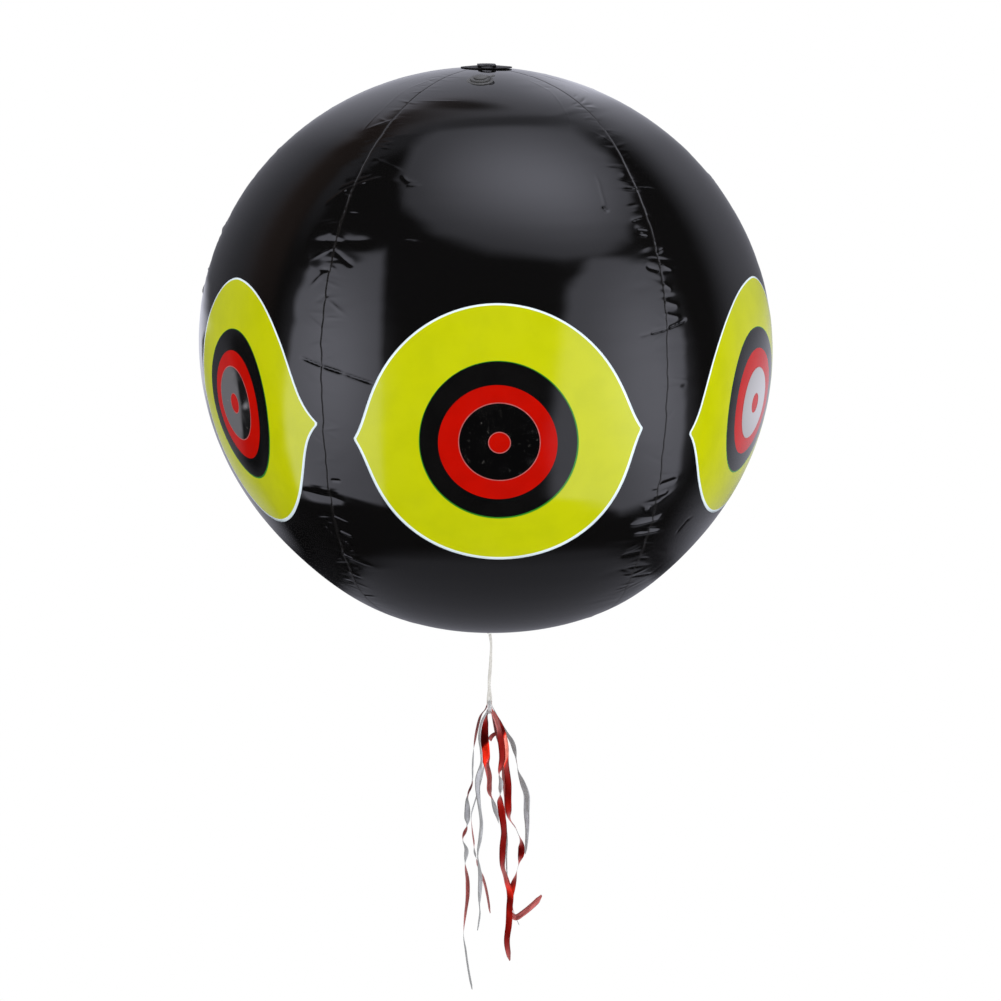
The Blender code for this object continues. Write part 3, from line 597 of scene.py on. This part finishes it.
def make_gore(gore, film):
    """The film of one gore, from seam to seam."""
    spans, rows = SHOWN_GRID if gore in SHOWN_GORES else OTHER_GRID
    steps = list(SEAM_COLUMNS)
    for stop, step in spans:
        while steps[-1] < stop:
            steps.append(steps[-1] + step)
    psi = np.array([s / HALF_GORE - 1 for s in steps] + [0.0] + [1 - s / HALF_GORE for s in reversed(steps)])
    beta = np.radians(np.linspace(-FILM_END, FILM_END, rows))
    grid_beta, grid_psi = np.meshgrid(beta, psi, indexing="ij")
    low, high = seam_azimuth(gore - 1, grid_beta), seam_azimuth(gore, grid_beta)
    theta = low + (grid_psi + 1) / 2 * (high - low)
    points, across = film_point(gore, theta, grid_beta)
    faces = grid_faces(rows, len(psi))
    flat = points.reshape(-1, 3)
    if gore == 1:
        axis = np.array(VALVE_AXIS)
        offset = flat - np.array(VALVE_AT)
        away = np.linalg.norm(offset - np.outer(offset @ axis, axis), axis=1)
        hole = (away < VALVE_HOLE) & (flat[:, 2] > BALL_Z)
        faces = [f for f in faces if not any(hole[v] for v in f)]
    obj = mesh_object(f"film_{gore}", flat, faces, [film], attributes={"seam": across.ravel()})
    finish_piece(obj, "balloon", "pvc_film", f"gore_{gore}")
    return obj


# ---------------------------------------------------------------- eyes
# Per gore, in mm on its front projection: the outline's centre, its half width left and right and its
# half height; its tips (degrees, share added); the rings' centre and their share of width; the foil's
# centre and its share of width
EYES = {
    1: dict(outline=(-0.4, -4.5, 78.3, 78.3, 79.5), tips=((3.7, 0.088), (180.3, 0.088)),
            rings=(-1.0, -4.4, 1.0), foil=(-0.6, -3.7, 1.0)),
    2: dict(outline=(28.0, -10.4, 102.0, 56.0, 79.0), tips=((4.0, 0.088), (178.5, 0.09)),
            rings=(11.0, -9.0, 1.10), foil=(10.8, -10.5, 1.08)),
    6: dict(outline=(-2.0, -8.0, 54.0, 83.0, 79.6), tips=((5.6, 0.155), (180.0, 0.05)),
            rings=(7.5, -6.2, 0.93), foil=(5.6, -5.6, 0.97)),
}
PLAIN_EYE = dict(outline=(0.0, -4.5, 78.3, 78.3, 79.5), tips=((2.0, 0.088), (180.0, 0.088)),
                 rings=(-0.5, -4.4, 1.0), foil=(-0.1, -3.9, 1.0))
# Half width and half height of the printed circles, the pale edge's width, and how far the print and the
# foil stand off the film (mm)
RED_CIRCLE = (34.65, 34.95)
BLACK_CIRCLE = (45.8, 47.8)
GREEN_CIRCLE = (46.5, 48.5)
EDGE_WIDTH = 1.5
INK_LIFT, INK_ROOT = 0.12, -0.1
FOIL_LIFT, FOIL_ROOT = 0.22, 0.02
# The foil's circles: its pale rim inside, the mirror, and its pale rim outside
FOIL_RADII = [6.1] + list(np.linspace(6.6, 23.35, 13)) + [23.9]
EYE_POINTS = 360


def eye_loop(centre, left, right, up, count, tips=(), grow=0.0):
    """Points of one printed boundary in the gore's front projection."""
    angle = np.linspace(0, 2 * math.pi, count, endpoint=False)
    reach = np.ones(count)
    for place, amount in tips:
        away = np.abs((np.degrees(angle) - place + 180) % 360 - 180)
        reach += amount * np.exp(-away / 7.5)
    across = np.where(np.cos(angle) > 0, right, left)
    margin = grow * (1 - 0.28 * np.sin(angle))
    return np.stack([centre[0] + (across * reach + margin) * np.cos(angle),
                     centre[1] + (up * reach + margin) * np.sin(angle)], axis=1)


def on_gore(gore, flat, lift):
    """Front-projection points (x, z) in mm of a gore, laid on its film."""
    beta = np.arcsin(np.clip(flat[:, 1] / POLE, -0.99, 0.99))
    turn = math.radians(60 * (gore - 1))
    local = np.arcsin(np.clip(flat[:, 0] / (RADIUS * np.cos(beta)), -0.99, 0.99))
    low, high = seam_azimuth(gore - 1, beta), seam_azimuth(gore, beta)
    for _ in range(12):
        rho, _ = film_radius(local + turn, beta, low, high)
        local = np.arcsin(np.clip(flat[:, 0] / rho, -0.99, 0.99))
    return film_point(gore, local + turn, beta, lift)[0]


def ring_faces(rings, count):
    """Faces between closed rings of count points each."""
    return [(a + j, a + count + j, a + count + (j + 1) % count, a + (j + 1) % count)
            for a in range(0, (rings - 1) * count, count) for j in range(count)]


def circle(x, z, wide, size):
    return eye_loop((x, z), size[0] * wide, size[0] * wide, size[1], EYE_POINTS)


def make_eye(gore, inks):
    """One gore's printed eye and the foil disc on it."""
    setup = EYES.get(gore, PLAIN_EYE)
    count = EYE_POINTS
    x, z, wide = setup["rings"]
    cx, cz, left, right, up = setup["outline"]
    centre = np.tile([x - 0.3, z + 0.4], (count, 1))
    red = circle(x - 0.5, z - 0.4, wide, RED_CIRCLE)
    black = circle(x, z, wide, BLACK_CIRCLE)
    green = circle(x + 0.2, z - 0.3, wide, GREEN_CIRCLE)
    inner = eye_loop((cx, cz), left, right, up, count, setup["tips"], -EDGE_WIDTH)
    outer = eye_loop((cx, cz), left, right, up, count, setup["tips"])
    # Start, end, number of steps, ink
    bands = [(centre, red, 12, 0), (red, black, 5, 1), (black, green, 1, 2), (green, inner, 14, 3),
             (inner, outer, 1, 4)]
    loops, kinds = [centre], []
    for start, end, steps, kind in bands:
        for k in range(1, steps + 1):
            loops.append(start + (end - start) * k / steps)
            kinds.append(kind)
    points = np.concatenate([on_gore(gore, np.concatenate(loops), INK_LIFT), on_gore(gore, outer, INK_ROOT)])
    faces = ring_faces(len(loops) + 1, count)
    indices = [kind for kind in kinds + [4] for _ in range(count)]
    obj = mesh_object(f"eye_{gore}", points, faces, inks, indices)
    finish_piece(obj, "balloon", "eye_ink", f"eye_print_{gore}")

    fx, fz, fwide = setup["foil"]
    loops = [circle(fx, fz, fwide, (r, r)) for r in FOIL_RADII]
    sheet = on_gore(gore, np.concatenate(loops), FOIL_LIFT)
    rims = [on_gore(gore, loop, lift) for loop, lift in ((loops[0], FOIL_ROOT), (loops[0], FOIL_LIFT),
                                                         (loops[-1], FOIL_LIFT), (loops[-1], FOIL_ROOT))]
    shift = len(sheet)
    faces = ring_faces(len(loops), count)
    indices = [1] * count + [0] * (len(faces) - 2 * count) + [1] * count
    for offset in (shift, shift + 2 * count):
        faces += [tuple(offset + v for v in face) for face in ring_faces(2, count)]
    indices += [1] * (len(faces) - len(indices))
    foil = mesh_object(f"foil_{gore}", np.concatenate([sheet] + rims), faces,
                       [MATERIALS["mirror"], MATERIALS["foil_edge"]], indices)
    finish_piece(foil, "balloon", "mirror_foil", f"eye_foil_{gore}")


# ---------------------------------------------------------------- materials
MATERIALS = {}


def principled(name, color, roughness, metallic=0.0, bump=None, specular=0.5, mottle=None, worn=None,
               thread=None):
    """A Principled material. bump is (scale, strength, distance in mm), mottle (other colour, scale) and
    worn (other roughness, scale). thread is a weave's size in mm, used in place of bump's scale."""
    mat = bpy.data.materials.new(name)
    mat.use_nodes = True
    g = Graph(mat.node_tree)
    coord = g.node("ShaderNodeTexCoord").outputs["Object"]
    if mottle is not None:
        color = g.mix(g.smooth(g.noise(coord, mottle[1], 4.0), 0.35, 0.68), color, mottle[0])
    if worn is not None:
        share = g.smooth(g.noise(coord, worn[1], 3.0), 0.35, 0.7)
        roughness = g.math("MULTIPLY_ADD", share, worn[0] - roughness, roughness)
    shader = g.node("ShaderNodeBsdfPrincipled", {"Base Color": color, "Roughness": roughness,
                                                 "Metallic": metallic, "Specular IOR Level": specular})
    if thread is not None:
        split = g.node("ShaderNodeSeparateXYZ", {0: coord})
        size = 2 * math.pi / (thread * MM)
        waves = [g.math("SINE", g.math("MULTIPLY", split.outputs[axis], size)) for axis in (0, 2)]
        height = g.math("MULTIPLY", waves[0], waves[1])
    elif bump is not None:
        height = g.noise(coord, bump[0], 3.0)
    if bump is not None:
        bumped = g.node("ShaderNodeBump", {"Height": height, "Strength": bump[1],
                                           "Distance": bump[2] * MM})
        g.put(shader.inputs["Normal"], bumped.outputs["Normal"])
    out = g.node("ShaderNodeOutputMaterial")
    g.put(out.inputs["Surface"], shader.outputs["BSDF"])
    MATERIALS[name] = mat
    return g, shader


def attribute(g, name):
    return g.node("ShaderNodeAttribute", attribute_name=name).outputs["Fac"]


FILM_COLOR = (0.0034, 0.0032, 0.0033, 1)
WELD_COLOR = (0.0075, 0.007, 0.007, 1)


def add_film_weld(g, shader):
    """The weld beside each seam: a narrow band, rougher and a little paler than the film."""
    band = g.smooth(attribute(g, "seam"), 1.5, 0.8)
    color = g.mix(band, FILM_COLOR, WELD_COLOR)
    g.put(shader.inputs["Base Color"], color)
    rough = shader.inputs["Roughness"].links[0].from_socket
    g.put(shader.inputs["Roughness"], g.math("MULTIPLY_ADD", band, 0.05, rough))


def streamer_foil(name, facing, painted_sheen_color, painted_highlight_color, painted_shade_color, metallic):
    """Foil whose colour carries a painted sheen that grows where the strip turns away, painted shade and
    painted highlights on its facets, and painted shade in small creases.
    """
    g, shader = principled(name, facing, 0.26, metallic, bump=(260.0, 0.04, 0.3), specular=0.03,
                           worn=(0.36, 220.0))
    # Painted light: a painted sheen where the strip turns away, then painted highlights (pale pink above 1)
    # and painted shade from the strip's values
    painted_light = attribute(g, "painted_light")
    color = g.mix(attribute(g, "painted_sheen"), facing, painted_sheen_color)
    color = g.mix(g.math("MULTIPLY", painted_light, 1.0, clamp=True), color, painted_highlight_color)
    color = g.mix(g.math("SUBTRACT", painted_light, 1.0, clamp=True), color, rgb(255, 150, 132))
    color = g.mix(g.math("MULTIPLY", painted_light, -1.0, clamp=True), color, painted_shade_color)
    coord = g.node("ShaderNodeTexCoord").outputs["Object"]
    # Painted shade: noise patches darken the foil toward the painted shade colour, as if shaded in small
    # creases
    painted_crease_shade = g.smooth(g.noise(coord, 150.0, 2.0), 0.40, 0.62)
    color = g.mix(g.math("MULTIPLY", painted_crease_shade, 0.18), color, painted_shade_color)
    g.put(shader.inputs["Base Color"], color)


def make_materials():
    gloss = (38.0, 0.10, 0.2)
    add_film_weld(*principled("film", FILM_COLOR, 0.070, bump=gloss, worn=(0.082, 25.0)))
    for name, color, other, rough in (
            ("ink_red", (0.44, 0.0031, 0.0002, 1), (0.40, 0.0028, 0.0002, 1), 0.10),
            ("ink_black", (0.0030, 0.0029, 0.0030, 1), (0.0042, 0.0040, 0.0041, 1), 0.085),
            ("ink_green", (0.02, 0.19, 0.015, 1), (0.03, 0.22, 0.015, 1), 0.10),
            ("ink_yellow", (0.485, 0.520, 0.0006, 1), (0.455, 0.492, 0.0006, 1), 0.10),
            ("ink_white", rgb(226, 240, 248), rgb(216, 230, 238), 0.12)):
        principled(name, color, rough, bump=gloss, specular=0.14 if name == "ink_red" else 0.5,
                   mottle=(other, 60.0), worn=(rough + 0.03, 45.0))
    g, shader = principled("mirror", (0.88, 0.86, 0.80, 1), 0.025, 1.0, bump=(160.0, 0.02, 0.2),
                           worn=(0.10, 95.0))
    coord = g.node("ShaderNodeTexCoord").outputs["Object"]
    stained = g.smooth(g.noise(coord, 330.0, 4.0), 0.62, 0.80)
    g.put(shader.inputs["Metallic"], g.math("MULTIPLY_ADD", stained, -0.05, 1.0))
    principled("foil_edge", rgb(186, 100, 98), 0.4, 0.2, specular=0.2, mottle=(rgb(170, 84, 82), 300.0))
    principled("cap", rgb(20, 19, 19), 0.45, specular=0.12, bump=(900.0, 0.15, 0.1),
               mottle=(rgb(24, 23, 22), 90.0), worn=(0.5, 200.0))
    principled("valve", (0.085, 0.085, 0.088, 1), 0.42, bump=(60.0, 0.1, 0.15), specular=0.3,
               mottle=((0.100, 0.100, 0.103, 1), 120.0), worn=(0.48, 150.0))
    principled("ribbon", rgb(214, 212, 207), 0.6, bump=(None, 0.35, 0.06), thread=0.30,
               mottle=(rgb(200, 198, 192), 500.0))
    # Each foil: its own colour, then the colours of its painted sheen, painted highlight and painted shade
    streamer_foil("foil_red", rgb(130, 14, 8), rgb(215, 140, 136), rgb(255, 50, 26), rgb(32, 1, 1), 0.35)
    streamer_foil("foil_silver", rgb(170, 170, 171), rgb(196, 197, 198), rgb(250, 250, 250),
                  rgb(96, 96, 99), 0.35)


def paint(node, material):
    """Gives a CAD node that stays a better material."""
    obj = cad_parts[node]
    obj.data.materials.clear()
    obj.data.materials.append(MATERIALS[material])


# ---------------------------------------------------------------- studio
# What the film reflects, set out on a disc (picture units) of half directions between the way to the
# photograph's camera and the reflected ray. Soft panels, each over those before it: kind, centre, half
# size, turn, softness, brightness, roundness. A box covers what is below it, and an add brightens it. An
# arc has radius, its half width, middle angle and half angle instead, and a shape has its brightness, its
# edge's softness and its convex outline.
VIEW_OUT = (-0.03725003, -0.96958086, 0.24192021)
VIEW_RIGHT = (0.99926282, -0.03839038, 0.0)
VIEW_UP = (0.00928741, 0.24174188, 0.97029615)
DISC_CENTRE = (487.5, 356.0)
DISC_SIZE = (308.0, 293.0)
GROUND_LEVEL = 0.003
# The pale rim of the disc: radius, softness, brightness, and how far it leans to the side (radians)
RIM = (0.87, 0.06, 0.32, 0.24)
PANELS = [
    ("box", 499, 90, 165, 48, -2, 0.60, 0.64, 3),
    ("add", 576, 90, 42, 15, 0, 0.90, 0.30, 2),
    ("arc", 0.82, 0.034, 130, 34, 0, 0.60, 0.022, 4),
    ("arc", 0.752, 0.028, 118, 24, 0, 0.70, 0.15, 3),
    ("box", 470, 113, 34, 5, 4, 0.60, 0.06, 2),
    ("box", 509, 640, 187, 88, -2, 0.13, 0.23, 3),
    ("shape", 1.20, 6, [(310, 259), (406, 257), (409, 380), (406, 503), (279, 490), (264, 440),
                        (263, 400), (274, 350), (287, 298)]),
    ("add", 342, 367, 50, 70, -2, 0.90, 1.15, 2),
    ("shape", 1.15, 6, [(575, 261), (651, 259), (668, 284), (693, 328), (698, 374), (697, 420), (692, 463),
                        (679, 484), (654, 497), (603, 510), (526, 490), (524, 437), (540, 341), (549, 292)]),
    ("add", 637, 378, 50, 80, -8, 0.80, 1.15, 2),
    ("shape", 0.62, 8, [(452, 134), (571, 134), (606, 157), (630, 186), (632, 212), (618, 240), (585, 260),
                        (548, 268), (497, 262), (458, 243), (425, 214), (416, 185), (426, 155)]),
    ("add", 534, 195, 58, 36, 9, 1.00, 1.72, 2),
    ("box", 500, 131, 76, 5, -4, 0.60, 0.25, 4),
    ("box", 672, 561, 20, 14, 30, 0.90, 0.03, 2),
    ("add", 735, 522, 30, 38, 35, 1.00, 0.18, 2),
    ("box", 268, 548, 34, 42, 40, 0.80, 0.006, 2),
    ("add", 780, 401, 16, 80, 7, 1.00, 0.52, 2),
    ("add", 192, 365, 8, 73, -2, 1.00, 1.20, 2),
    ("box", 204.5, 405, 12.5, 66, -3.7, 0.06, 0.15, 4),
    ("box", 224, 405, 6.5, 66, -3.7, 0.10, 0.010, 4),
    ("add", 220.5, 405, 1.5, 5, 10, 0.80, 0.20, 2),
    ("add", 183, 385, 7, 50, 0, 0.90, 0.22, 2),
    ("arc", 1.0, 0.045, -157, 15, 0, 0.60, 0.50, 3),
]
# Straight behind the ball, where both directions cancel out: brightness, and the length of their sum
# where it starts and where it is full
BACK = (0.25, 0.30, 0.10)
# The brown arc: its panel, its share of red, and the green and blue for each red
BROWN_ARC = ("arc", 0.825, 0.045, 130, 39, 0, 0.5, 0, 4)
BROWN, BROWN_GREEN, BROWN_BLUE = 0.055, 0.55, 0.34
TINT = (0.965, 0.975, 1.12)


def shape_mask(g, px, py, soft, outline):
    """1 inside a convex outline, 0 outside, across a soft edge."""
    middle = np.mean(outline, axis=0)
    far = None
    for (ax, ay), (bx, by) in zip(outline, outline[1:] + outline[:1]):
        out = np.array([by - ay, ax - bx]) / math.hypot(bx - ax, by - ay)
        if (np.array([ax, ay]) - middle) @ out < 0:
            out = -out
        away = g.math("MULTIPLY_ADD", px, float(out[0]), -float(out @ (ax, ay)))
        away = g.math("MULTIPLY_ADD", py, float(out[1]), away)
        far = away if far is None else g.math("MAXIMUM", far, away)
    return g.smooth(far, soft, -soft)


def panel_mask(g, px, py, rim, angle, panel):
    """1 inside a box or arc with rounded corners, 0 outside, across a soft edge."""
    kind, cx, cy, hx, hy, turn, soft, _, power = panel
    if kind == "arc":
        a = g.math("DIVIDE", g.math("ABSOLUTE", g.math("SUBTRACT", rim, cx)), cy)
        b = g.math("DIVIDE", g.math("ABSOLUTE", g.math("SUBTRACT", angle, hx)), hy)
    else:
        c, s = math.cos(math.radians(turn)), math.sin(math.radians(turn))
        x = g.math("SUBTRACT", px, cx)
        y = g.math("SUBTRACT", py, cy)
        a = g.math("ABSOLUTE", g.math("MULTIPLY_ADD", x, c / hx, g.math("MULTIPLY", y, s / hx)))
        b = g.math("ABSOLUTE", g.math("MULTIPLY_ADD", y, c / hy, g.math("MULTIPLY", x, -s / hy)))
    far = g.math("POWER", g.math("ADD", g.math("POWER", a, power), g.math("POWER", b, power)), 1 / power)
    return g.smooth(far, 1 + soft, 1 - soft)


def make_world():
    """White to the camera, pale to soft rays, and the pattern of panels to glossy ones."""
    world = bpy.data.worlds.new("studio")
    SCENE.world = world
    world.use_nodes = True
    g = Graph(world.node_tree)
    direction = g.node("ShaderNodeTexCoord").outputs["Generated"]
    between = g.vector("ADD", direction, VIEW_OUT)
    half = g.vector("NORMALIZE", between)
    u = g.vector("DOT_PRODUCT", half, VIEW_RIGHT)
    w = g.vector("DOT_PRODUCT", half, VIEW_UP)
    px = g.math("MULTIPLY_ADD", u, DISC_SIZE[0], DISC_CENTRE[0])
    py = g.math("MULTIPLY_ADD", w, -DISC_SIZE[1], DISC_CENTRE[1])
    rim = g.math("SQRT", g.math("ADD", g.math("MULTIPLY", u, u), g.math("MULTIPLY", w, w)))
    turn = g.math("ARCTAN2", w, u)
    angle = g.math("MULTIPLY", turn, math.degrees(1))
    start, soft, bright, lean = RIM
    upper = g.math("MULTIPLY_ADD", g.math("COSINE", g.math("SUBTRACT", turn, math.pi / 2 - lean)), 0.5, 0.5)
    level = g.math("MULTIPLY_ADD", g.smooth(rim, start - soft, start + soft),
                   g.math("MULTIPLY", upper, bright), GROUND_LEVEL)
    for panel in PANELS:
        if panel[0] == "shape":
            _, bright, soft, outline = panel
            mask = shape_mask(g, px, py, soft, outline)
        else:
            bright = panel[7]
            mask = panel_mask(g, px, py, rim, angle, panel)
        change = bright if panel[0] == "add" else g.math("SUBTRACT", bright, level)
        level = g.math("MULTIPLY_ADD", mask, change, level)
    reach = g.node("ShaderNodeVectorMath", {0: between}, operation="LENGTH").outputs["Value"]
    back_level, start, end = BACK
    level = g.math("MULTIPLY_ADD", g.smooth(reach, start, end), g.math("SUBTRACT", back_level, level), level)
    brown = g.math("MULTIPLY", panel_mask(g, px, py, rim, angle, BROWN_ARC), BROWN)
    red = g.math("ADD", g.math("MULTIPLY", level, TINT[0]), brown)
    green = g.math("MULTIPLY_ADD", brown, BROWN_GREEN, g.math("MULTIPLY", level, TINT[1]))
    blue = g.math("MULTIPLY_ADD", brown, BROWN_BLUE, g.math("MULTIPLY", level, TINT[2]))
    pattern = g.node("ShaderNodeCombineXYZ", {0: red, 1: green, 2: blue}).outputs[0]
    path = g.node("ShaderNodeLightPath")
    plain = g.mix(path.outputs["Is Glossy Ray"], (0.95, 0.95, 0.95, 1), pattern)
    seen = g.mix(path.outputs["Is Camera Ray"], plain, (1, 1, 1, 1))
    back = g.node("ShaderNodeBackground", {"Color": seen, "Strength": 1.0})
    out = g.node("ShaderNodeOutputWorld")
    g.put(out.inputs["Surface"], back.outputs[0])


FLOOR_HALF, FLOOR_Z = 6, -1.3


def make_floor():
    """A plain pale floor, white to the camera."""
    mesh = bpy.data.meshes.new("floor")
    corners = [(x * FLOOR_HALF, y * FLOOR_HALF, 0) for x, y in ((-1, -1), (1, -1), (1, 1), (-1, 1))]
    mesh.from_pydata(corners, [], [(0, 1, 2, 3)])
    obj = bpy.data.objects.new("floor", mesh)
    obj.location = (0, 0, FLOOR_Z)
    SCENE.collection.objects.link(obj)
    mat = bpy.data.materials.new("floor")
    mat.use_nodes = True
    g = Graph(mat.node_tree)
    pale = g.node("ShaderNodeBsdfDiffuse", {"Color": (0.9, 0.9, 0.9, 1)})
    white = g.node("ShaderNodeEmission", {"Color": (1, 1, 1, 1), "Strength": 1.0})
    path = g.node("ShaderNodeLightPath")
    mix = g.node("ShaderNodeMixShader", {0: path.outputs["Is Camera Ray"], 1: pale.outputs[0],
                                         2: white.outputs[0]})
    out = g.node("ShaderNodeOutputMaterial")
    g.put(out.inputs["Surface"], mix.outputs[0])
    mesh.materials.append(mat)
    obj.visible_glossy = False


# Lights: place (m) and power (W)
LIGHTS = {"key": ((-1.2, -1.6, 1.0), 12), "fill": ((1.9, -1.0, 0.1), 17)}
LIGHT_SIZE = 1.0
LIGHT_TARGET = (0, 0, -0.2)


def make_light(name, at, power):
    data = bpy.data.lights.new(name, "AREA")
    data.size = LIGHT_SIZE
    data.energy = power
    obj = bpy.data.objects.new(name, data)
    obj.location = at
    obj.rotation_euler = (Vector(LIGHT_TARGET) - Vector(at)).to_track_quat("-Z", "Y").to_euler()
    obj.visible_glossy = False
    SCENE.collection.objects.link(obj)


def main():
    SCENE.view_settings.view_transform = "Standard"
    make_camera()
    make_materials()
    foils = MATERIALS["foil_red"], MATERIALS["foil_silver"]
    for number, tail in enumerate(TAILS, start=1):
        make_tail(number, *foils, **tail)
    make_ribbon(MATERIALS["ribbon"], make_folds(*foils))
    make_world()
    make_floor()
    for name, (at, power) in LIGHTS.items():
        make_light(name, at, power)
    inks = [MATERIALS[n] for n in ("ink_red", "ink_black", "ink_green", "ink_yellow", "ink_white")]
    for gore in range(1, 7):
        make_gore(gore, MATERIALS["film"])
        make_eye(gore, inks)
    for node in ("top_cap", "bottom_cap", "hang_tab_base", "hang_tab", "streamer_tab_base", "streamer_tab"):
        paint(node, "cap")
    for node in ("valve_flange", "valve_stem", "valve_flap", "valve_plug", "valve_plug_strap"):
        paint(node, "valve")
    paint("ribbon_tie", "ribbon")


main()
